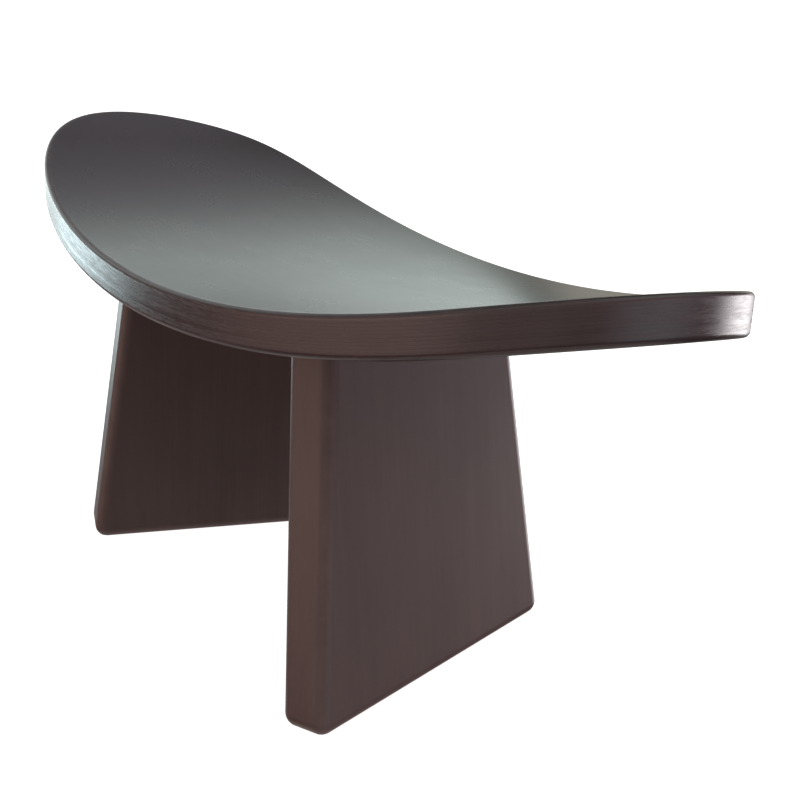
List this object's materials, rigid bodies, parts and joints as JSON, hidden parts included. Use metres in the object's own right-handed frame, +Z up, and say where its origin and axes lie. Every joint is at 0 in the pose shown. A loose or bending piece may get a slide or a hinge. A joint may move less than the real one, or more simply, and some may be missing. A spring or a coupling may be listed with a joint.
{
  "type": "kneeling stool",
  "caption": "Low kneeling stool: a saddle-bent oval seat board that slopes down towards the knees, on splayed and toed-in tapered plank legs, in dark-stained satin wood.",
  "frame": {"origin": "on the floor, under the middle of the seat's outline", "axes": "+Z up, +X along the seat to the sitter's right, +Y towards the knees, down the seat's slope"},
  "size_m": [0.48, 0.202, 0.2161],
  "materials": {
    "seat_stain": "dark walnut stain under satin lacquer",
    "leg_stain": "dark walnut stain under satin lacquer",
    "dowel_beech": "unfinished beech, hidden in the joint"
  },
  "bodies": {
    "root": {"seat_core": "seat_stain", "seat_top_veneer": "seat_stain", "seat_underside_veneer": "seat_stain", "left_leg": "leg_stain", "right_leg": "leg_stain", "left_back_dowel": "dowel_beech", "left_middle_dowel": "dowel_beech", "left_front_dowel": "dowel_beech", "right_back_dowel": "dowel_beech", "right_middle_dowel": "dowel_beech", "right_front_dowel": "dowel_beech"}
  },
  "joints": []
}
